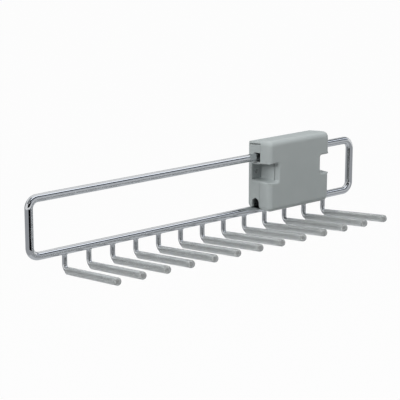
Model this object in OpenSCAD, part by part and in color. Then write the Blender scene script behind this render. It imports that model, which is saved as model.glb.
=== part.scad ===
// Pull-out tie rack for the side wall of a wardrobe.
// A closed loop of chromed wire slides along X through a moulded housing and carries sleeved pegs.
// The wall is the plane y = 0, the pegs point towards -Y, and +X runs towards the back of the wardrobe.
// The origin lies on the wall, midway between the two screw holes. All lengths are in millimetres.

/* [Wire loop] */
// Length between the centres of the end bars
loop_l = 450; // [430:5:560]
// Height between the centres of the upper and lower rails
loop_h = 60; // [58:0.5:68]
// Diameter of the loop's wire
loop_wire = 8.5; // [7:0.1:8.6]
// Radius of the loop's corners, to the middle of the wire
loop_bend = 10; // [8:0.5:13]
// How far the back end bar stands out behind the housing, with the rack pulled out
left_behind = 54; // [14:1:340]

/* [Pegs] */
// Number of pegs
peg_count = 13; // [5:1:14]
// Distance from an end bar to the nearest peg
peg_margin = 42; // [24:0.5:60]
// Diameter of the peg's wire
peg_wire = 5.3; // [4:0.1:5.6]
// Drop from the lower rail's centre to the corner of the peg
peg_drop = 21; // [18:0.5:26]
// Radius of the peg's bend, to the middle of the wire
peg_bend = 6; // [5:0.5:8]
// Length of the arm, from the corner to the end of its sleeve
peg_arm = 122; // [70:1:140]
// Angle by which the arm rises towards its tip
peg_rise = 9.3; // [0:0.1:14]
// Angle by which the arm turns towards the front end of the loop
peg_turn = 10; // [0:0.5:15]

/* [Sleeves] */
// Outer diameter of the sleeve
sleeve_d = 8.1; // [6.8:0.1:8.2]
// Solid plastic past the end of the wire
sleeve_cap = 2.5; // [1.5:0.1:4]
// Bare wire between the bend and the sleeve
sleeve_start = 1; // [0.5:0.5:8]
// Rounding of the closed end
sleeve_round = 2.4; // [1:0.1:3]

/* [Housing] */
// Length along the rails
housing_l = 93; // [86:1:110]
// Depth from the wall to the front face
housing_d = 34; // [32:0.5:40]
// Height of the top's front edge above the upper rail's centre
top_margin = 20; // [19:0.5:22]
// Slope of the top, which falls towards the wall
top_tilt = 7.5; // [4:0.5:9]
// Gap between the cover's top wall and the base
top_seam = 0.9; // [0.3:0.1:1.2]
// Height of the roof inside the base above the upper rail's centre
roof_rise = 9.5; // [9.2:0.1:9.8]
// Height of the lower rail's centre above the housing's lower edge
low_edge = 0.5; // [0:0.1:1.5]
// Distance from the wall to the rails' centres
rail_off = 11.5; // [11:0.1:12.5]
// Thickness of the outer walls
wall = 2.8; // [2.2:0.1:3]
// Thickness of the back plate
back = 3; // [2.5:0.1:4]
// Rounding of the front edges
edge_r = 6.2; // [3.4:0.1:6.6]
// Width of the arches for the lower rail
arch_w = 11; // [10.6:0.1:11.4]
// Height of the arches above the lower rail's centre
arch_rise = 12.9; // [10:0.1:15]
// Height of the slots for the upper rail
slot_h = 10.2; // [9.4:0.1:10.6]

/* [Screw pockets] */
// Height of the screw holes above the lower rail's centre
screw_rise = 42; // [40.5:0.1:42.4]
// Length of a pocket along the rails
pocket_l = 14; // [12:0.1:15]
// Height of a pocket at the tab
pocket_h = 17.5; // [16:0.1:19]
// Angle by which the pocket's upper side rises towards the front
pocket_flare = 9; // [6:0.5:10]
// Level part of the pocket's upper side, in front of the tab
flare_flat = 3; // [1:0.5:8]
// Thickness of the tab under the screw's head
tab = 5; // [4:0.1:7]
// Diameter of the screw hole
screw_hole = 4.5; // [3.5:0.1:5]
// Thickness of the pocket's inner walls
well = 1.8; // [1.2:0.1:2]
// Depth of the cover's rim round the pocket, from the front face
rim = 6.9; // [4:0.1:7.5]
// Radius of the pocket's inner corners
pocket_r = 2.3; // [1:0.1:4]
// Radius of the pocket's outer corners
mouth_r = 2.2; // [1:0.1:2.4]
// Rounding of the pocket's edge at the front face
lip_r = 2.7; // [1:0.1:3]
// Gap between the cover's rim and the base's pocket wall
rim_gap = 0.8; // [0.3:0.1:1]

/* [Guides] */
// Running radius at the bottom of a roller's groove
roller_r = 6; // [5.6:0.1:6.4]
// Depth of the groove
flange = 2.2; // [1.4:0.1:2.4]
// Width of a roller
roller_w = 9; // [8.6:0.1:9.4]
// Gap between a roller and the wall of the nearest pocket
roller_gap = 4; // [1:0.5:10]
// Diameter of a roller's pin
pin_d = 4; // [3:0.1:5]
// Gap between the upper glide's end and the nearest clip
glide_gap = 3; // [0.5:0.5:12]
// Gap between the lower guide's end and the rounded inner corner of the housing
guide_gap = 0.3; // [0.1:0.1:18]
// Thickness of the lower guide's flanges and roof
guide_t = 1.6; // [1.2:0.1:2]

/* [Clearances] */
// Gap between a sliding or rolling face and the wire
run_gap = 0.3; // [0.2:0.05:0.4]
// Gap round a pin in its bore, on the radius
pin_fit = 0.05; // [0.02:0.01:0.1]
// Gap round a sleeve's wire, on the radius
sleeve_fit = 0.05; // [0:0.01:0.1]
// Gap between the base and the cover
seam = 0.3; // [0.2:0.05:0.4]

/* [Hidden] */
$fn = 48;

// Cuts run this far past the face that they open
over = 1;

// Heights, from the screw holes
lower_z = -screw_rise;
upper_z = lower_z + loop_h;
top_z = upper_z + top_margin;
bottom_z = lower_z - low_edge;
roof_in = upper_z + roof_rise;

// Depths, from the wall
arch_lip = 1.2;
parting = rail_off + arch_w / 2 + arch_lip;
plate_in = housing_d - wall;
well_d = housing_d - rim;
flare_from = tab + flare_flat;

// The flared part of a pocket starts this far below the level part, and the lip this far below the flared part
flare_sink = 0.1;
lip_sink = 0.04;

// Heights of the pocket's upper side at the front face, and where the rounded lip starts
pocket_top = pocket_h / 2 - flare_sink + (housing_d - flare_from) * tan(pocket_flare);
lip_top = pocket_top - lip_r * tan(pocket_flare) - lip_sink;

// Lengths, from the housing's middle
end_x = housing_l / 2;
inner_x = end_x - wall;
pocket_x = end_x - pocket_l;
well_x = pocket_x - well;
screw_x = end_x - pocket_l / 2;

// The loop's end bars, and the distance from one peg to the next
rear_x = end_x + left_behind;
front_x = rear_x - loop_l;
peg_pitch = (loop_l - 2 * peg_margin) / (peg_count - 1);

// The outline's corners leave this much flat beyond the rounded edge
corner_land = 0.2;
corner_r = edge_r + corner_land;

// The sloping top cuts this far into the rounded front edge
top_land = 0.15;

// The cover's top wall is this much thinner over the base
top_relief = 0.2;

// A ridge of this thickness along the wall closes the gap over the base
top_ridge = 1;

// Rollers
bite = loop_wire / 2 + run_gap;
axle_z = upper_z - bite - roller_r;
roller_x = well_x - roller_gap - roller_r - flange;
roller_side = 0.25;
boss_wall = 2.4;
pin_seat = 1.8;
pin_from = back - pin_seat;
pin_to = plate_in - pin_seat;

// Clips of the cover: an arm, and the nib that snaps into the base
clip_w = 8;
clip_t = 1.9;
clip_nib = 1.1;
clip_nib_l = 2.4;
clip_reach = 5.6;
clip_slack = 0.2;
clip_inset = 5.7;
clip_x = inner_x - clip_inset;
end_clip_rise = 19;
end_clip_z = bottom_z + end_clip_rise;

// Upper glide
glide_w = 11.4;
glide_wrap = 1.5;

// Ribs of the back plate
rib_t = 1.6;
rib_d = 3.2;

// Lower guide
guide_side = 0.1;
guide_foot = rail_off - arch_w / 2 - back;

colour_housing = "#98a19e";
colour_chrome = "#c4c7cb";
colour_sleeve = "#c8cecc";
colour_nylon = "#34373a";
colour_steel = "#a9adb1";

// Length of the bend's tangent, from the corner to where the wire runs straight
peg_tangent = peg_bend * tan((90 + peg_rise) / 2);

// Bending draws the wire this much thinner, and the straight wire runs this far into the bend
bend_thinning = 0.04;
bend_lap = 0.05;

// Where peg number i stands along the loop
function peg_x(i) = front_x + peg_margin + (i - 1) * peg_pitch;

// A straight wire from the origin along +Z
module rod(d, length) {
    cylinder(d = d, h = length);
}

// Places its children in the plane x = 0 and draws them from x = from to x = to
module along_x(from, to) {
    translate([from, 0, 0]) rotate([90, 0, 90]) linear_extrude(to - from) children();
}

// Both ends of the housing, as mirror images
module both_ends() {
    children();
    mirror([1, 0, 0]) children();
}

// Everything below the sloping top, or below its inner face when inset
module under_top(inset) {
    size = 2 * housing_l;
    translate([0, edge_r - housing_d, top_z - edge_r]) rotate([-top_tilt, 0, 0])
        translate([-size / 2, -size / 2, edge_r - inset - top_land - size]) cube(size);
}

// Outer form of the whole housing, or its inner form when inset: flat at the wall, rounded at the front
module form(inset) {
    intersection() {
        box_form(inset);
        under_top(inset);
    }
}

// The housing's form before its top is sloped
module box_form(inset) {
    rc = corner_r - inset;
    re = edge_r - inset;
    x = end_x - inset;
    z0 = bottom_z + inset;
    z1 = top_z - inset;
    d = housing_d - inset;
    along_x(-x + rc, x - rc) {
        translate([-d + re, z0]) square([d - re, z1 - z0]);
        translate([-d, z0 + re]) square([d, z1 - z0 - 2 * re]);
        for (z = [z0 + re, z1 - re]) translate([-d + re, z]) circle(re);
    }
    translate([0, 0, z0 + rc]) linear_extrude(z1 - z0 - 2 * rc) {
        translate([-x, -d + re]) square([2 * x, d - re]);
        translate([-x + re, -d]) square([2 * x - 2 * re, d]);
        for (side = [-1, 1]) translate([side * (x - re), -d + re]) circle(re);
    }
    both_ends() {
        translate([x - rc, 0, z1 - rc]) rotate([90, 0, 0])
            rotate_extrude(angle = 90) edge_section(rc, re, d);
        translate([x - rc, 0, z0 + rc]) rotate([90, 90, 0])
            rotate_extrude(angle = 90) edge_section(rc, re, d);
    }
}

// Section through a rounded corner, from its axis outwards and from the wall forwards
module edge_section(rc, re, d) {
    intersection() {
        square([rc, d]);
        union() {
            square([rc, d - re]);
            square([rc - re, d]);
            translate([rc - re, d - re]) circle(re);
        }
    }
}

// Section of the upper half of a screw pocket at the back end, above the screw hole
module half_pocket() {
    x = pocket_x;
    h = pocket_h / 2;
    translate([x + pocket_r, 0]) square([pocket_l - pocket_r + over, h]);
    translate([x, 0]) square([pocket_l, h - pocket_r]);
    translate([x + pocket_r, h - pocket_r]) circle(pocket_r);
    difference() {
        translate([end_x - mouth_r, h]) square([mouth_r + over, mouth_r]);
        translate([end_x - mouth_r, h + mouth_r]) circle(mouth_r);
    }
}

// The space of one screw pocket at the back end, from depth y to past the front face
module pocket_space(y) {
    h = pocket_h / 2;
    translate([0, -y, 0]) rotate([90, 0, 0]) linear_extrude(housing_d + 2 * over) {
        half_pocket();
        mirror([0, 1]) half_pocket();
    }
    translate([0, -flare_from, h - flare_sink]) rotate([90 - pocket_flare, 0, 0])
        linear_extrude(housing_d) translate([0, -h]) half_pocket();
}

// Section of the cut that rounds a pocket's edge: a corner less a circle
module lip_section() {
    difference() {
        translate([-over, -over]) square(lip_r + over);
        translate([lip_r, lip_r]) circle(lip_r);
    }
}

// Rounding of one pocket's edge at the front face
module pocket_lip() {
    x = pocket_x + pocket_r;
    low = pocket_r - pocket_h / 2;
    high = lip_top - pocket_r;
    translate([pocket_x, -housing_d, low]) linear_extrude(high - low) mirror([1, 0, 0]) lip_section();
    for (end = [[0, high], [1, -low]]) mirror([0, 0, end[0]]) {
        along_x(x, end_x + over) translate([-housing_d, end[1] + pocket_r]) lip_section();
        translate([x, -housing_d, end[1]]) rotate([-90, 0, 0]) rotate([0, 0, 180])
            rotate_extrude(angle = 90) translate([pocket_r, 0]) lip_section();
    }
}

// Section of the arch that the lower rail and the pegs' weld beads pass through
module arch_section() {
    z = lower_z + arch_rise - arch_w / 2;
    translate([-rail_off, z]) circle(d = arch_w);
    translate([-rail_off - arch_w / 2, bottom_z - over]) square([arch_w, z - bottom_z + over]);
}

// Section of the slot for the upper rail, open towards the cover
module slot_section() {
    translate([-rail_off, upper_z]) circle(d = slot_h);
    translate([-parting - over, upper_z - slot_h / 2]) square([parting + over - rail_off, slot_h]);
}

// Turns +Z into the direction of a roller's axis, away from the wall
module roller_axis(x) {
    translate([x, 0, axle_z]) rotate([90, 0, 0]) children();
}

// Wall-side half of the housing, with the screw tabs, pocket walls and roller bosses
module housing_base() {
    boss_d = pin_d + 2 * boss_wall;
    boss_end = rail_off - roller_w / 2 - roller_side;
    color(colour_housing) difference() {
        union() {
            difference() {
                intersection() {
                    form(0);
                    union() {
                        under_top(wall + top_seam);
                        intersection() {
                            under_top(wall - top_relief + seam);
                            translate([-end_x, -top_ridge, upper_z]) cube([housing_l, top_ridge, top_margin]);
                        }
                    }
                    translate([-end_x, -parting, bottom_z]) cube([housing_l, parting, top_z - bottom_z]);
                }
                translate([-inner_x, -housing_d, bottom_z + wall])
                    cube([2 * inner_x, housing_d - back, roof_in - bottom_z - wall]);
            }
            both_ends() {
                wall_block(well_x, end_x - wall / 2, 0, parting);
                wall_block(well_x, inner_x - seam, 0, well_d);
            }
            for (x = [-roller_x, roller_x]) roller_axis(x) cylinder(d = boss_d, h = boss_end);
            back_ribs();
        }
        both_ends() {
            pocket_space(tab);
            translate([screw_x, over, 0]) rotate([90, 0, 0]) cylinder(d = screw_hole, h = tab + 2 * over);
            translate([clip_x - clip_w / 2 - clip_slack, -parting + clip_nib_l / 2, roof_in - over])
                cube([clip_w + 2 * clip_slack, clip_nib_l + clip_slack * 2, over + clip_nib + clip_slack]);
            translate([inner_x - over, -parting + clip_nib_l / 2, end_clip_z - clip_slack])
                cube([over + clip_nib + clip_slack, clip_nib_l + clip_slack * 2, clip_w + 2 * clip_slack]);
        }
        along_x(-end_x - over, end_x + over) arch_section();
        along_x(-end_x - over, end_x + over) slot_section();
        translate([-inner_x, -parting - over, bottom_z - over])
            cube([2 * inner_x, over + arch_lip + over, over + wall]);
        for (x = [-roller_x, roller_x])
            translate([0, -pin_from, 0]) roller_axis(x) cylinder(d = pin_d + 2 * pin_fit, h = housing_d);
    }
}

// A block round one pocket, from x0 to x1 and from depth y0 to y1, before the pocket is cut
module wall_block(x0, x1, y0, y1) {
    low = -pocket_h / 2 - well;
    translate([x0, -y1, low]) cube([x1 - x0, y1 - y0, pocket_top + well - low]);
}

// Ribs inside the back plate: one pair behind the glide, and two long ones that stiffen the plate
module back_ribs() {
    rib_top = roof_in + over;
    for (x = [-roller_x, roller_x])
        translate([x - rib_t / 2, -(rail_off - glide_w / 2), axle_z + pin_d])
            cube([rib_t, rail_off - glide_w / 2, rib_top - axle_z - pin_d]);
    for (z = [-pocket_h / 2 - well, lower_z + arch_rise + rib_t])
        translate([-inner_x - over, -back - rib_d, z]) cube([2 * (inner_x + over), rib_d + over, rib_t]);
}

// Room-side half of the housing, snapped over the base
module housing_cover() {
    boss_d = pin_d + 2 * boss_wall;
    boss_from = rail_off + roller_w / 2 + roller_side;
    color(colour_housing) difference() {
        union() {
            difference() {
                form(0);
                form(wall);
                intersection() {
                    under_top(wall - top_relief);
                    translate([-end_x - over, -parting - seam, bottom_z - over])
                        cube([housing_l + 2 * over, parting + seam + over, top_z - bottom_z + over]);
                }
            }
            for (x = [-roller_x, roller_x])
                translate([0, -boss_from, 0]) roller_axis(x)
                    cylinder(d = boss_d, h = housing_d - wall / 2 - boss_from);
            both_ends() {
                wall_block(well_x, end_x - wall / 2, well_d + rim_gap, housing_d - wall / 2);
                top_clip();
                end_clip();
            }
        }
        both_ends() {
            pocket_space(-over);
            pocket_lip();
        }
        for (x = [-roller_x, roller_x])
            translate([0, -boss_from + over, 0]) roller_axis(x)
                cylinder(d = pin_d + 2 * pin_fit, h = pin_to - boss_from + over);
    }
}

// Arm under the base's roof, with a nib that snaps up into it
module top_clip() {
    y1 = plate_in + wall / 2;
    y0 = parting - clip_reach;
    z = roof_in - clip_slack;
    translate([clip_x - clip_w / 2, -y1, z - clip_t]) cube([clip_w, y1 - y0, clip_t]);
    translate([clip_x - clip_w / 2, -parting + clip_nib_l / 2 + clip_slack, z - over])
        cube([clip_w, clip_nib_l, over + clip_nib]);
}

// Arm inside the base's end wall, with a nib that snaps out into it
module end_clip() {
    y1 = plate_in + wall / 2;
    y0 = parting - clip_reach;
    x = inner_x - clip_slack;
    translate([x - clip_t, -y1, end_clip_z]) cube([clip_t, y1 - y0, clip_w]);
    translate([x - over, -parting + clip_nib_l / 2 + clip_slack, end_clip_z])
        cube([over + clip_nib, clip_nib_l, clip_w]);
}

// Grooved nylon wheel that carries the upper rail
module roller(x) {
    rim_r = roller_r + flange;
    bore_r = pin_d / 2 + pin_fit;
    color(colour_nylon) translate([0, -rail_off + roller_w / 2, 0]) roller_axis(x)
        rotate_extrude() difference() {
            translate([bore_r, 0]) square([rim_r - bore_r, roller_w]);
            translate([roller_r + bite, roller_w / 2]) circle(bite);
        }
}

// Steel pin that a roller turns on, held at both ends
module roller_pin(x) {
    color(colour_steel) translate([0, -pin_from, 0]) roller_axis(x)
        cylinder(d = pin_d, h = pin_to - pin_from);
}

// Nylon strip over the upper rail, which holds it down on the rollers
module upper_glide() {
    z0 = upper_z - glide_wrap;
    end = clip_x - clip_w / 2 - glide_gap;
    color(colour_nylon) along_x(-end, end) difference() {
        translate([-rail_off - glide_w / 2, z0]) square([glide_w, roof_in - z0]);
        translate([-rail_off, upper_z]) circle(bite);
        translate([-rail_off - bite, z0 - over]) square([2 * bite, glide_wrap + over]);
    }
}

// Nylon channel over the lower rail, which keeps it off the wall and off the cover
module lower_guide() {
    w = arch_w / 2 - guide_side;
    z1 = lower_z + arch_rise - guide_side;
    seat = bottom_z + wall;
    end = inner_x - (corner_r - wall) - guide_gap;
    color(colour_nylon) along_x(-end, end) difference() {
        union() {
            translate([-rail_off - w, bottom_z]) square([2 * w, z1 - bottom_z]);
            translate([-rail_off - w - guide_foot, seat]) square([2 * (w + guide_foot), guide_t]);
        }
        translate([-rail_off - bite, bottom_z - over]) square([2 * bite, z1 - guide_t - bottom_z + over]);
    }
}

// Closed loop of wire: two rails, two end bars and four corners
module rail_loop() {
    r = loop_bend;
    color(colour_chrome) translate([0, -rail_off, 0]) {
        for (z = [lower_z, upper_z])
            translate([front_x + r, 0, z]) rotate([0, 90, 0]) rod(loop_wire, loop_l - 2 * r);
        for (x = [front_x, rear_x])
            translate([x, 0, lower_z + r]) rod(loop_wire, loop_h - 2 * r);
        loop_corner(rear_x - r, upper_z - r, 0);
        loop_corner(front_x + r, upper_z - r, 90);
        loop_corner(front_x + r, lower_z + r, 180);
        loop_corner(rear_x - r, lower_z + r, 270);
    }
}

// Quarter of a ring about the point x, z, turned from +X towards +Z by the given angle
module loop_corner(x, z, turn) {
    translate([x, 0, z]) rotate([0, -turn, 0]) rotate([90, 0, 0]) rotate_extrude(angle = 90)
        translate([loop_bend, 0]) circle(d = loop_wire);
}

// Moves its children from the peg's corner to peg number i, along its arm's direction in plan
module at_peg(i) {
    translate([peg_x(i), -rail_off, lower_z - peg_drop]) rotate([0, 0, -peg_turn]) children();
}

// Turns +Z into the direction of the arm
module along_arm() {
    rotate([90 - peg_rise, 0, 0]) children();
}

// One peg: a stem welded under the lower rail, a bend and a straight arm
module peg(i) {
    wire_end = peg_arm - sleeve_cap;
    straight = peg_tangent - bend_lap;
    color(colour_chrome) difference() {
        at_peg(i) {
            translate([0, 0, straight]) rod(peg_wire, peg_drop - straight);
            translate([0, -peg_bend, peg_tangent]) rotate([-90, 0, 90])
                rotate_extrude(angle = 90 + peg_rise) translate([peg_bend, 0])
                    circle(d = peg_wire - bend_thinning);
            along_arm() translate([0, 0, straight]) rod(peg_wire, wire_end - straight);
        }
        translate([peg_x(i) - peg_wire, -rail_off, lower_z]) rotate([0, 90, 0]) rod(loop_wire, 2 * peg_wire);
    }
}

// Clear sleeve on a peg's arm, closed and rounded at the tip
module sleeve(i) {
    from = peg_tangent + sleeve_start;
    length = peg_arm - from;
    r = sleeve_d / 2;
    color(colour_sleeve) at_peg(i) along_arm() translate([0, 0, from]) rotate_extrude() difference() {
        intersection() {
            square([r, length]);
            union() {
                square([r, length - sleeve_round]);
                square([r - sleeve_round, length]);
                translate([r - sleeve_round, length - sleeve_round]) circle(sleeve_round);
            }
        }
        translate([-over, -over])
            square([over + peg_wire / 2 + sleeve_fit, over + length - sleeve_cap + sleeve_fit]);
    }
}

housing_base();
housing_cover();
roller(-roller_x);  // roller_front
roller(roller_x);  // roller_back
roller_pin(-roller_x);  // roller_pin_front
roller_pin(roller_x);  // roller_pin_back
upper_glide();
lower_guide();
rail_loop();
for (i = [1 : peg_count]) {
    peg(i);
    sleeve(i);
}
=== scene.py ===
import math

import bmesh
import bpy
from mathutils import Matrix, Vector


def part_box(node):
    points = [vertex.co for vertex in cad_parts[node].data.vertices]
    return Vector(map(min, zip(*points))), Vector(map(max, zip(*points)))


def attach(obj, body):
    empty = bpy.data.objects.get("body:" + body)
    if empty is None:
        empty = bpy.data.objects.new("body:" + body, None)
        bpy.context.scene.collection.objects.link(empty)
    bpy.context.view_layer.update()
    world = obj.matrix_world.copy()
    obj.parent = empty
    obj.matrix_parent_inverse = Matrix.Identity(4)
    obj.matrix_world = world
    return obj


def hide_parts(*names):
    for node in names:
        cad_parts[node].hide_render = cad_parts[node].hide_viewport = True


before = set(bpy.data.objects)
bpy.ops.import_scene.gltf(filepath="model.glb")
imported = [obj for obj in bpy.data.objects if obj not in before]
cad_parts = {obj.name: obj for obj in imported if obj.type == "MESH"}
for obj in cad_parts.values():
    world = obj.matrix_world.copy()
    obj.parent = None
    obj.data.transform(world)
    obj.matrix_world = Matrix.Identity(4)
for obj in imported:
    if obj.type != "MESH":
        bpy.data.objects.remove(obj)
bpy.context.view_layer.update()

MM = 0.001

# Sizes of the real pieces, in millimetres, and angles
PEG_COUNT = 13
LOOP_BEND = 10.0                 # radius of the loop's corners, at the middle of the wire
PEG_WIRE = 5.3
PEG_BEND = 6.0                   # radius of a peg's bend, at the middle of the wire
PEG_DROP = 21.0                  # from the lower rail's middle down to the peg's corner
PEG_ARM = 122.0                  # from the peg's corner to the tip of its sleeve
PEG_CHAMFER = 0.7                # round the wire's end inside the sleeve
PEG_RISE = math.radians(9.3)     # how much the arm climbs towards its tip
PEG_TURN = math.radians(10.0)    # how much the arm turns towards the front of the loop
SLEEVE_D = 8.1
SLEEVE_START = 1.0               # from the end of the peg's bend to the sleeve's open mouth
SLEEVE_CAP = 2.5                 # thickness of the closed end
SLEEVE_ROUND = 2.4               # rounding of the closed end
SLEEVE_LIP = 0.4                 # rounding of the open mouth
SLEEVE_PLAY = 0.05               # gap between the bore and the wire

# How finely the round pieces are drawn: sides round them and steps along them
LOOP_SIDES = 64
RAIL_STEPS = 40
LOOP_BEND_STEPS = 24
PEG_SIDES = 40
STEM_STEPS = 4
PEG_BEND_STEPS = 22
ARM_STEPS = 12
SLEEVE_SIDES = 48
TIP_STEPS = 8
WALL_STEPS = 12
LIP_STEPS = 4

# The loop's wire and where its rails run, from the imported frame
LOOP_LOW, LOOP_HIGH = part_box("rail_loop")
LOOP_WIRE = (LOOP_HIGH.y - LOOP_LOW.y) / MM
RAIL_Y = (LOOP_HIGH.y + LOOP_LOW.y) / 2
FRONT_X = LOOP_LOW.x + LOOP_WIRE / 2 * MM
REAR_X = LOOP_HIGH.x - LOOP_WIRE / 2 * MM
LOWER_Z = LOOP_LOW.z + LOOP_WIRE / 2 * MM
UPPER_Z = LOOP_HIGH.z - LOOP_WIRE / 2 * MM


# Materials

# Typical of ABS, soft PVC and nylon alike
PLASTIC_IOR = 1.53

# The sockets in which the Mix node keeps its two colours and the mixed one
COLOUR_A = 6
COLOUR_B = 7
MIXED = 2


def srgb(code):
    """A hex colour as linear light."""
    channels = [int(code[k:k + 2], 16) / 255 for k in (1, 3, 5)]
    linear = [c / 12.92 if c <= 0.04045 else ((c + 0.055) / 1.055) ** 2.4 for c in channels]
    return (*linear, 1.0)


def per_metre(size_mm):
    """Texture scale at which a pattern repeats about every size_mm millimetres."""
    return 1 / (size_mm * MM)


def add(tree, kind, inputs=None, **settings):
    """Adds one node. Each input is a plain value or another node's output."""
    node = tree.nodes.new(kind)
    for name, value in settings.items():
        setattr(node, name, value)
    for name, value in (inputs or {}).items():
        if isinstance(value, bpy.types.NodeSocket):
            tree.links.new(value, node.inputs[name])
        else:
            node.inputs[name].default_value = value
    return node


def start_material(name):
    """A material without nodes."""
    material = bpy.data.materials.new(name)
    material.use_nodes = True
    material.node_tree.nodes.clear()
    return material


def show(tree, shader):
    """Makes a shader the material's surface."""
    add(tree, "ShaderNodeOutputMaterial", {"Surface": shader.outputs[0]})


def moulded_abs():
    """Injection-moulded ABS with a fine spark-eroded grain: matt, a soft sheen, and a faint cloudiness."""
    material = start_material("grey_moulded_abs")
    tree = material.node_tree
    place = add(tree, "ShaderNodeTexCoord").outputs["Object"]
    cloud = add(tree, "ShaderNodeTexNoise", {"Vector": place, "Scale": per_metre(22), "Detail": 3.0})
    colour = add(tree, "ShaderNodeMix", {
        "Factor": cloud.outputs["Fac"], COLOUR_A: srgb("#9ea5a5"), COLOUR_B: srgb("#a6acac")},
        data_type="RGBA")
    # The real grain is about 0.1 mm and is drawn coarser so that it shows
    grain = add(tree, "ShaderNodeTexNoise", {"Vector": place, "Scale": per_metre(0.45), "Detail": 2.0})
    gloss = add(tree, "ShaderNodeMapRange", {
        "Value": grain.outputs["Fac"], "To Min": 0.46, "To Max": 0.60})
    bump = add(tree, "ShaderNodeBump", {
        "Height": grain.outputs["Fac"], "Strength": 0.25, "Distance": 0.03 * MM})
    shader = add(tree, "ShaderNodeBsdfPrincipled", {
        "Base Color": colour.outputs[MIXED], "Roughness": gloss.outputs[0], "Normal": bump.outputs[0],
        "IOR": PLASTIC_IOR})
    show(tree, shader)
    return material


def chromium(name, gloss_low, gloss_high):
    """Chromium plate on drawn steel wire: a slightly blue mirror with a faint ripple from the drawing."""
    material = start_material(name)
    tree = material.node_tree
    place = add(tree, "ShaderNodeTexCoord").outputs["Object"]
    ripple = add(tree, "ShaderNodeTexNoise", {"Vector": place, "Scale": per_metre(5), "Detail": 2.0})
    haze = add(tree, "ShaderNodeTexNoise", {"Vector": place, "Scale": per_metre(1.2), "Detail": 3.0})
    gloss = add(tree, "ShaderNodeMapRange", {
        "Value": haze.outputs["Fac"], "To Min": gloss_low, "To Max": gloss_high})
    bump = add(tree, "ShaderNodeBump", {
        "Height": ripple.outputs["Fac"], "Strength": 0.16, "Distance": 0.05 * MM})
    tint = add(tree, "ShaderNodeMix", {
        "Factor": haze.outputs["Fac"], COLOUR_A: srgb("#c5c7ca"), COLOUR_B: srgb("#cfd1d3")},
        data_type="RGBA")
    shader = add(tree, "ShaderNodeBsdfPrincipled", {
        "Base Color": tint.outputs[MIXED], "Metallic": 1.0, "Roughness": gloss.outputs[0],
        "Normal": bump.outputs[0]})
    show(tree, shader)
    return material


def clear_soft_pvc():
    """Dipped clear soft PVC: milky clear, a soft gloss, and slightly uneven in thickness."""
    material = start_material("clear_soft_pvc")
    tree = material.node_tree
    place = add(tree, "ShaderNodeTexCoord").outputs["Object"]
    flow = add(tree, "ShaderNodeTexNoise", {"Vector": place, "Scale": per_metre(9), "Detail": 2.0})
    gloss = add(tree, "ShaderNodeMapRange", {
        "Value": flow.outputs["Fac"], "To Min": 0.07, "To Max": 0.15})
    bump = add(tree, "ShaderNodeBump", {
        "Height": flow.outputs["Fac"], "Strength": 0.2, "Distance": 0.06 * MM})
    milk = add(tree, "ShaderNodeMix", {
        "Factor": flow.outputs["Fac"], COLOUR_A: srgb("#e8ebea"), COLOUR_B: srgb("#f1f3f2")},
        data_type="RGBA")
    shader = add(tree, "ShaderNodeBsdfPrincipled", {
        "Base Color": milk.outputs[MIXED], "Roughness": gloss.outputs[0], "Normal": bump.outputs[0],
        "Transmission Weight": 0.8, "IOR": PLASTIC_IOR})
    show(tree, shader)
    return material


def black_nylon():
    """Moulded black nylon: a waxy dark grey with slightly uneven gloss from the mould."""
    material = start_material("black_nylon")
    tree = material.node_tree
    place = add(tree, "ShaderNodeTexCoord").outputs["Object"]
    cloud = add(tree, "ShaderNodeTexNoise", {"Vector": place, "Scale": per_metre(6), "Detail": 2.0})
    colour = add(tree, "ShaderNodeMix", {
        "Factor": cloud.outputs["Fac"], COLOUR_A: srgb("#2a2c2e"), COLOUR_B: srgb("#343739")},
        data_type="RGBA")
    gloss = add(tree, "ShaderNodeMapRange", {
        "Value": cloud.outputs["Fac"], "To Min": 0.36, "To Max": 0.50})
    shader = add(tree, "ShaderNodeBsdfPrincipled", {
        "Base Color": colour.outputs[MIXED], "Roughness": gloss.outputs[0], "IOR": PLASTIC_IOR})
    show(tree, shader)
    return material


def drawn_steel():
    """Drawn bright steel: fine lines along the pin."""
    material = start_material("drawn_steel_pin")
    tree = material.node_tree
    place = add(tree, "ShaderNodeTexCoord").outputs["Object"]
    stretch = add(tree, "ShaderNodeMapping", {"Vector": place, "Scale": (1.0, 0.03, 1.0)})
    lines = add(tree, "ShaderNodeTexNoise", {
        "Vector": stretch.outputs[0], "Scale": per_metre(0.3), "Detail": 2.0})
    gloss = add(tree, "ShaderNodeMapRange", {
        "Value": lines.outputs["Fac"], "To Min": 0.22, "To Max": 0.42})
    tint = add(tree, "ShaderNodeMix", {
        "Factor": lines.outputs["Fac"], COLOUR_A: srgb("#a4a7a9"), COLOUR_B: srgb("#b6b8ba")},
        data_type="RGBA")
    shader = add(tree, "ShaderNodeBsdfPrincipled", {
        "Base Color": tint.outputs[MIXED], "Metallic": 1.0, "Roughness": gloss.outputs[0]})
    show(tree, shader)
    return material


def dark_wire_end():
    """The sheared end of a plated wire: near-black, rough metal with an uneven grain, which darkens the tip
    of each sleeve.
    """
    material = start_material("sheared_wire_end")
    tree = material.node_tree
    place = add(tree, "ShaderNodeTexCoord").outputs["Object"]
    grain = add(tree, "ShaderNodeTexNoise", {"Vector": place, "Scale": per_metre(0.8), "Detail": 2.0})
    gloss = add(tree, "ShaderNodeMapRange", {
        "Value": grain.outputs["Fac"], "To Min": 0.45, "To Max": 0.65})
    colour = add(tree, "ShaderNodeMix", {
        "Factor": grain.outputs["Fac"], COLOUR_A: srgb("#141415"), COLOUR_B: srgb("#2a2b2c")},
        data_type="RGBA")
    shader = add(tree, "ShaderNodeBsdfPrincipled", {
        "Base Color": colour.outputs[MIXED], "Metallic": 1.0, "Roughness": gloss.outputs[0]})
    show(tree, shader)
    return material


ABS = moulded_abs()
CHROME = chromium("bright_chromium_plate", 0.04, 0.09)
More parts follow.
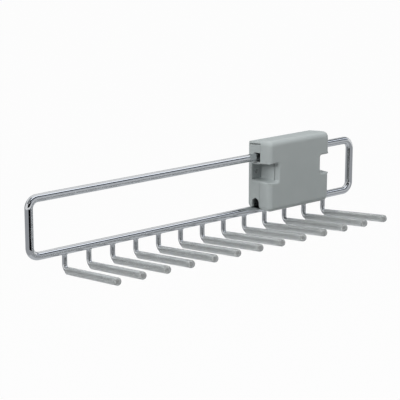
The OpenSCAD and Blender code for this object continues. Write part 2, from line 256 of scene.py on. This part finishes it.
# The bent and welded pegs are plated a little duller than the loop
DULL_CHROME = chromium("dull_chromium_plate", 0.07, 0.13)
PVC = clear_soft_pvc()
NYLON = black_nylon()
STEEL = drawn_steel()
# The wire's end under each sleeve's tip is near-black
DARK_WIRE_END = dark_wire_end()


# Shapes

# Edges sharper than this stay sharp in the shading
SHARP_EDGE = math.radians(50)


def new_piece(name, mesh, material, sharp=SHARP_EDGE):
    """Makes an object of a mesh, smooth apart from edges sharper than the given angle."""
    mesh.materials.clear()
    mesh.materials.append(material)
    mesh.shade_smooth()
    mesh.set_sharp_from_angle(angle=sharp)
    piece = bpy.data.objects.new(name, mesh)
    bpy.context.scene.collection.objects.link(piece)
    return piece


def straight(start, end, steps):
    """Points and directions from start to end, both included."""
    way = (end - start).normalized()
    return [(start.lerp(end, k / steps), way) for k in range(steps + 1)]


def bend(centre, out, way, radius, angle, steps):
    """Points and directions on an arc that starts at centre + out * radius, along way.

    The start itself is left out, as it is the end of what comes before.
    """
    points = []
    for k in range(1, steps + 1):
        turn = angle * k / steps
        point = centre + (out * math.cos(turn) + way * math.sin(turn)) * radius
        points.append((point, way * math.cos(turn) - out * math.sin(turn)))
    return points


def ring(build, centre, across, beside, radius, sides):
    """Points round centre in the plane of across and beside, or one point where the radius is 0."""
    if radius == 0:
        return [build.verts.new(centre)]
    turns = [2 * math.pi * k / sides for k in range(sides)]
    return [build.verts.new(centre + (across * math.cos(t) + beside * math.sin(t)) * radius) for t in turns]


def join(build, low, high, sides):
    """The faces between two rings, either of which may be a single point."""
    for k in range(sides):
        n = (k + 1) % sides
        corners = [low[k % len(low)], low[n % len(low)], high[n % len(high)], high[k % len(high)]]
        build.faces.new(list(dict.fromkeys(corners)))


def mesh_of(build, name):
    """Keeps what was built as a mesh."""
    mesh = bpy.data.meshes.new(name)
    build.to_mesh(mesh)
    build.free()
    return mesh


def wire(name, route, across, radii, sides, closed=False):
    """A round wire swept along a route that lies in a plane, whose normal is across."""
    build = bmesh.new()
    rings = [ring(build, point, across, across.cross(way), radius, sides)
             for (point, way), radius in zip(route, radii)]
    for low, high in zip(rings, rings[1:]):
        join(build, low, high, sides)
    if closed:
        join(build, rings[-1], rings[0], sides)
    else:
        build.faces.new(rings[0][::-1])
        build.faces.new(rings[-1])
    bmesh.ops.recalc_face_normals(build, faces=build.faces)
    return mesh_of(build, name)


def turned(name, start, way, across, profile, sides):
    """A turned solid about the line from start along way.

    The profile runs from pole to pole, as pairs of distance along the line and radius.
    """
    beside = across.cross(way)
    build = bmesh.new()
    rings = [ring(build, start + way * along, across, beside, radius, sides) for along, radius in profile]
    for low, high in zip(rings, rings[1:]):
        join(build, low, high, sides)
    bmesh.ops.recalc_face_normals(build, faces=build.faces)
    return mesh_of(build, name)


# The loop


def loop_route():
    """The closed line through the middle of the loop's wire. It ends where its first step starts."""
    r = LOOP_BEND * MM
    ahead, up = Vector((1, 0, 0)), Vector((0, 0, 1))
    low_left = Vector((FRONT_X, RAIL_Y, LOWER_Z))
    high_right = Vector((REAR_X, RAIL_Y, UPPER_Z))
    low_right = Vector((REAR_X, RAIL_Y, LOWER_Z))
    high_left = Vector((FRONT_X, RAIL_Y, UPPER_Z))
    corners = [
        (low_right, ahead, up), (high_right, up, -ahead),
        (high_left, -ahead, -up), (low_left, -up, ahead)]
    route = []
    last = low_left + ahead * r
    for corner, way, after in corners:
        route += straight(last, corner - way * r, RAIL_STEPS)[1:]
        route += bend(corner - way * r + after * r, -after, way, r, math.pi / 2, LOOP_BEND_STEPS)
        last = corner + after * r
    return route


def make_loop():
    """The closed wire that carries the pegs and slides through the housing."""
    route = loop_route()
    radii = [LOOP_WIRE / 2 * MM] * len(route)
    mesh = wire("loop_wire", route, Vector((0, 1, 0)), radii, LOOP_SIDES, closed=True)
    piece = new_piece("loop_wire", mesh, CHROME)
    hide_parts("rail_loop")
    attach(piece, "tie_frame")


# The pegs and their sleeves

# An arm's direction, its level direction seen from above, and the level line across it
ARM_WAY = Vector((
    -math.cos(PEG_RISE) * math.sin(PEG_TURN),
    -math.cos(PEG_RISE) * math.cos(PEG_TURN),
    math.sin(PEG_RISE)))
ARM_PLAN = Vector((-math.sin(PEG_TURN), -math.cos(PEG_TURN), 0))
ARM_ACROSS = Vector((math.cos(PEG_TURN), -math.sin(PEG_TURN), 0))

# The bend turns the wire from straight down to the rising arm. It starts and ends TANGENT from the corner
PEG_BEND_ANGLE = math.pi / 2 + PEG_RISE
TANGENT = PEG_BEND * math.tan(PEG_BEND_ANGLE / 2)

# The weld's bead: height above the lower rail's underside, and how much it widens the stem there
WELD_BEAD = [
    (-1.2, 0.0), (-0.7, 0.06), (-0.3, 0.24), (0.1, 0.5),
    (0.5, 0.72), (0.9, 0.84), (1.5, 0.86), (2.6, 0.7)]

# An inner ring on the flat of the sleeve's tip, as a share of that flat's radius
TIP_RING = 0.6


def peg_corner(i):
    """Where the stem's line and the arm's line of peg i meet."""
    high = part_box(f"peg_{i}")[1]
    return Vector((high.x - PEG_WIRE / 2 * MM, RAIL_Y, LOWER_Z - PEG_DROP * MM))


def make_peg(i):
    """The wire of peg i: its weld, stem, bend and arm, and its sheared end inside the sleeve."""
    corner = peg_corner(i)
    down = Vector((0, 0, -1))
    underside = LOWER_Z - LOOP_WIRE / 2 * MM
    route = []
    radii = []
    for height, widening in reversed(WELD_BEAD):
        route.append((Vector((corner.x, corner.y, underside + height * MM)), down))
        radii.append((PEG_WIRE / 2 + widening) * MM)
    bend_start = corner - down * TANGENT * MM
    rest = straight(route[-1][0], bend_start, STEM_STEPS)[1:]
    centre = bend_start + ARM_PLAN * PEG_BEND * MM
    rest += bend(centre, -ARM_PLAN, down, PEG_BEND * MM, PEG_BEND_ANGLE, PEG_BEND_STEPS)
    arm_start = corner + ARM_WAY * TANGENT * MM
    arm_end = corner + ARM_WAY * (PEG_ARM - SLEEVE_CAP) * MM
    rest += straight(arm_start, arm_end - ARM_WAY * PEG_CHAMFER * MM, ARM_STEPS)[1:]
    route += rest + [(arm_end, ARM_WAY)]
    radii += [PEG_WIRE / 2 * MM] * len(rest) + [(PEG_WIRE / 2 - PEG_CHAMFER) * MM]
    mesh = wire(f"peg_wire_{i}", route, ARM_ACROSS, radii, PEG_SIDES)
    piece = new_piece(f"peg_wire_{i}", mesh, DULL_CHROME)
    # The last face is the wire's end
    piece.data.materials.append(DARK_WIRE_END)
    piece.data.polygons[-1].material_index = 1
    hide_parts(f"peg_{i}")
    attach(piece, "tie_frame")


def quarter_turn(steps):
    """The angles of the steps of a quarter turn."""
    return [math.pi / 2 * k / steps for k in range(1, steps + 1)]


def sleeve_profile():
    """From the pole of the rounded tip along the outside, over the lip and down the bore to its end."""
    outer = SLEEVE_D / 2
    flat = outer - SLEEVE_ROUND
    profile = [(PEG_ARM, 0.0), (PEG_ARM, flat * TIP_RING), (PEG_ARM, flat)]
    for turn in quarter_turn(TIP_STEPS):
        along = PEG_ARM - SLEEVE_ROUND * (1 - math.cos(turn))
        profile.append((along, flat + SLEEVE_ROUND * math.sin(turn)))
    mouth = TANGENT + SLEEVE_START
    wall_start = PEG_ARM - SLEEVE_ROUND
    wall_length = wall_start - mouth - SLEEVE_LIP
    profile += [(wall_start - wall_length * k / WALL_STEPS, outer) for k in range(1, WALL_STEPS + 1)]
    for turn in quarter_turn(LIP_STEPS):
        along = mouth + SLEEVE_LIP * (1 - math.sin(turn))
        profile.append((along, outer - SLEEVE_LIP * (1 - math.cos(turn))))
    bore = PEG_WIRE / 2 + SLEEVE_PLAY
    bore_end = PEG_ARM - SLEEVE_CAP + SLEEVE_PLAY
    profile += [(mouth, bore), (bore_end, bore), (bore_end, 0.0)]
    return [(along * MM, radius * MM) for along, radius in profile]


def make_sleeve(i):
    """The clear tube with a closed, rounded end on the arm of peg i."""
    mesh = turned(f"peg_sleeve_{i}", peg_corner(i), ARM_WAY, ARM_ACROSS, sleeve_profile(), SLEEVE_SIDES)
    piece = new_piece(f"peg_sleeve_{i}", mesh, PVC)
    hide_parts(f"sleeve_{i}")
    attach(piece, "tie_frame")


# The housing

# Points closer than this are joined, and edges sharper than this stay sharp in the shading
SAME_POINT = 0.001 * MM
SHELL_SHARP_EDGE = math.radians(35)
# How strongly a large flat face keeps its even shading beside a rounded edge
FLAT_WEIGHT = 90
# Where a mesh from the frame keeps its shading
FRAME_SHADING = "custom_normal"


def make_shell(node, name):
    """A moulded half of the housing: the frame's own shape, smooth on its roundings, even on its flats."""
    build = bmesh.new()
    build.from_mesh(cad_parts[node].data)
    bmesh.ops.remove_doubles(build, verts=build.verts, dist=SAME_POINT)
    mesh = mesh_of(build, name)
    # The frame's shading no longer fits once points are joined
    if FRAME_SHADING in mesh.attributes:
        mesh.attributes.remove(mesh.attributes[FRAME_SHADING])
    piece = new_piece(name, mesh, ABS, sharp=SHELL_SHARP_EDGE)
    flatten = piece.modifiers.new("flat_faces_stay_flat", "WEIGHTED_NORMAL")
    flatten.weight = FLAT_WEIGHT
    flatten.keep_sharp = True
    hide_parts(node)
    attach(piece, "housing")


# The pieces inside the housing keep the frame's own shapes
INSIDE_PIECES = {
    "roller_front": NYLON,
    "roller_back": NYLON,
    "upper_glide": NYLON,
    "lower_guide": NYLON,
    "roller_pin_front": STEEL,
    "roller_pin_back": STEEL,
}

make_loop()
for number in range(1, PEG_COUNT + 1):
    make_peg(number)
    make_sleeve(number)
make_shell("housing_base", "base_shell")
make_shell("housing_cover", "cover_shell")
for node, material in INSIDE_PIECES.items():
    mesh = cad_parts[node].data
    mesh.materials.clear()
    mesh.materials.append(material)


# Studio, in metres

WHITE = srgb("#ffffff")
AMBIENT_LIGHT = 0.20
FLOOR_Z = -1.2
FLOOR_SIZE = 40
# How much of the floor's look is plain white where the background is seen. The rest takes light and shadow
FLOOR_WHITE = 0.97

# Where the lamps and the cards are turned to
LIT_POINT = (-0.12, -0.03, -0.01)
OBJECT_MIDDLE = (-0.125, -0.012, -0.018)
RIGHT_OF_OBJECT = (1.0, -0.012, -0.018)
FAR_RIGHT = (2.4, -0.012, -0.018)


def sheet_of(name, centre, width, height, facing):
    """A flat rectangle in the studio, turned so that it faces a point."""
    mesh = bpy.data.meshes.new(name)
    w, h = width / 2, height / 2
    mesh.from_pydata([(-w, -h, 0), (w, -h, 0), (w, h, 0), (-w, h, 0)], [], [(0, 1, 2, 3)])
    sheet = bpy.data.objects.new(name, mesh)
    bpy.context.scene.collection.objects.link(sheet)
    sheet.location = centre
    sheet.rotation_mode = "QUATERNION"
    sheet.rotation_quaternion = (Vector(facing) - Vector(centre)).to_track_quat("Z", "Y")
    return sheet


def background_rays(tree):
    """1 for rays that should meet the white background: from the camera, off metal and through glass."""
    path = add(tree, "ShaderNodeLightPath")
    first = add(tree, "ShaderNodeMath", {
        0: path.outputs["Is Camera Ray"], 1: path.outputs["Is Glossy Ray"]}, operation="MAXIMUM")
    return add(tree, "ShaderNodeMath", {
        0: first.outputs[0], 1: path.outputs["Is Transmission Ray"]}, operation="MAXIMUM").outputs[0]


def make_floor():
    """A pale matt floor that the camera, the metal and the clear sleeves see almost white."""
    floor = sheet_of("floor", (0, 0, FLOOR_Z), FLOOR_SIZE, FLOOR_SIZE, (0, 0, 1))
    material = start_material("pale_floor")
    tree = material.node_tree
    matt = add(tree, "ShaderNodeBsdfDiffuse", {"Color": srgb("#f4f4f2")})
    white = add(tree, "ShaderNodeEmission", {"Color": WHITE, "Strength": 1.0})
    share = add(tree, "ShaderNodeMath", {0: background_rays(tree), 1: FLOOR_WHITE}, operation="MULTIPLY")
    mix = add(tree, "ShaderNodeMixShader", {
        0: share.outputs[0], 1: matt.outputs[0], 2: white.outputs[0]})
    show(tree, mix)
    floor.data.materials.append(material)


def make_card(name, colour, centre, width, height, facing=OBJECT_MIDDLE,
              strength=1.0, through_sleeves=False):
    """A glowing card that only reflections see: it paints reflections, such as dark gaps, grey cloths round
    a studio table and bright strips, into the metal and the sleeves, and lights nothing.

    Its colour shows at the given strength, and with through_sleeves also through the clear sleeves.
    """
    card = sheet_of(name, centre, width, height, facing)
    material = start_material(name)
    tree = material.node_tree
    show(tree, add(tree, "ShaderNodeEmission", {"Color": srgb(colour), "Strength": strength}))
    card.data.materials.append(material)
    card.visible_camera = False
    card.visible_diffuse = False
    card.visible_transmission = through_sleeves
    card.visible_shadow = False


def make_lamp(name, place, size, power):
    """A soft lamp that shows neither in the chrome nor through the sleeves."""
    data = bpy.data.lights.new(name, "AREA")
    data.shape = "RECTANGLE"
    data.size, data.size_y = size
    data.energy = power
    lamp = bpy.data.objects.new(name, data)
    lamp.location = place
    lamp.rotation_mode = "QUATERNION"
    lamp.rotation_quaternion = (Vector(LIT_POINT) - Vector(place)).to_track_quat("-Z", "Y")
    lamp.visible_glossy = False
    lamp.visible_transmission = False
    bpy.context.scene.collection.objects.link(lamp)


def make_world():
    """A white background, and a dim even light from all sides."""
    world = bpy.data.worlds.new("studio")
    world.use_nodes = True
    world.node_tree.nodes.clear()
    tree = world.node_tree
    ambient = add(tree, "ShaderNodeBackground", {"Color": WHITE, "Strength": AMBIENT_LIGHT})
    white = add(tree, "ShaderNodeBackground", {"Color": WHITE, "Strength": 1.0})
    mix = add(tree, "ShaderNodeMixShader", {
        0: background_rays(tree), 1: ambient.outputs[0], 2: white.outputs[0]})
    add(tree, "ShaderNodeOutputWorld", {"Surface": mix.outputs[0]})
    bpy.context.scene.world = world


# The camera, fitted to the photograph
CAMERA_TARGET = Vector((-0.1276, -0.0115, -0.0183))
CAMERA_DISTANCE = 1.6951
CAMERA_AZIMUTH = math.radians(-40)
CAMERA_ELEVATION = math.radians(14.11)
FOCAL_PX = 1563.1
PHOTO_PX = 400
SENSOR_MM = 36


def make_camera():
    """The camera of the photograph."""
    data = bpy.data.cameras.new("camera")
    data.sensor_width = SENSOR_MM
    data.lens = FOCAL_PX / PHOTO_PX * SENSOR_MM
    camera = bpy.data.objects.new("camera", data)
    level = math.cos(CAMERA_ELEVATION)
    back = Vector((
        math.sin(CAMERA_AZIMUTH) * level,
        -math.cos(CAMERA_AZIMUTH) * level,
        math.sin(CAMERA_ELEVATION)))
    camera.location = CAMERA_TARGET + back * CAMERA_DISTANCE
    camera.rotation_mode = "QUATERNION"
    camera.rotation_quaternion = (-back).to_track_quat("-Z", "Y")
    bpy.context.scene.collection.objects.link(camera)
    bpy.context.scene.camera = camera


make_world()
make_floor()
make_lamp("key_softbox", (-2.2, -0.22, 1.15), (1.2, 1.2), 44)
make_lamp("front_softbox", (0.2, -1.5, 1.9), (1.2, 1.2), 30)
make_lamp("top_softbox", (0.3, 0.2, 1.6), (1.6, 0.8), 10)

# Painted reflections: cards below the object
make_card("grey_table", "#b1b3b6", (0, 0, -0.9), 10, 10, (0, 0, 1), through_sleeves=True)
make_card("pale_mat", "#d2d5d8", (0.5, 0.1, -0.85), 2.6, 1.5, (0.5, 0.1, 1), through_sleeves=True)

# Painted reflections: cards in front of it, which the rails show as long lines, and at its sides
make_card("dark_front", "#07090c", (1.0, -1.62, 1.68), 6.0, 1.02, RIGHT_OF_OBJECT)
# A painted highlight: a bright strip at twice white, seen only in the metal, just above the dark line
make_card("bright_front", "#eef4ff", (1.0, -0.95, 2.13), 6.0, 0.56, RIGHT_OF_OBJECT, strength=2.0)
make_card("pale_front", "#c6cacf", (1.0, -2.40, 0.90), 6.0, 2.10, RIGHT_OF_OBJECT)
make_card("grey_left", "#999b9d", (-1.75, -0.1, 1.9), 2.5, 2.3, (-0.35, -0.012, 0.0))
make_card("dusky_corner", "#83888c", (4.25, 0.6, 3.0), 3.0, 3.6, (4.25, 0.6, 0))

# Painted reflections: cards behind it, which the sleeves' walls and the rails' upper edges show
make_card("pale_back", "#c2c8cc", (0.675, 3.0, 0.35), 2.55, 2.2, FAR_RIGHT, through_sleeves=True)
make_card("grey_back", "#7c858e", (3.675, 3.0, 0.35), 3.45, 2.2, FAR_RIGHT, through_sleeves=True)
make_card("dim_back", "#6b6f72", (-1.35, 3.0, 0.25), 1.9, 1.6, (-0.2, -0.012, -0.06), through_sleeves=True)

# Painted reflections: dark cards beside the camera
make_card("dark_camera_side", "#0a0a0b", (-1.50, -1.65, 0.52), 2.4, 1.0)
make_card("dark_near", "#060608", (-0.44, -0.47, -0.145), 0.56, 0.12, (-0.35, -0.012, -0.018))

make_camera()
bpy.context.scene.view_settings.view_transform = "Standard"
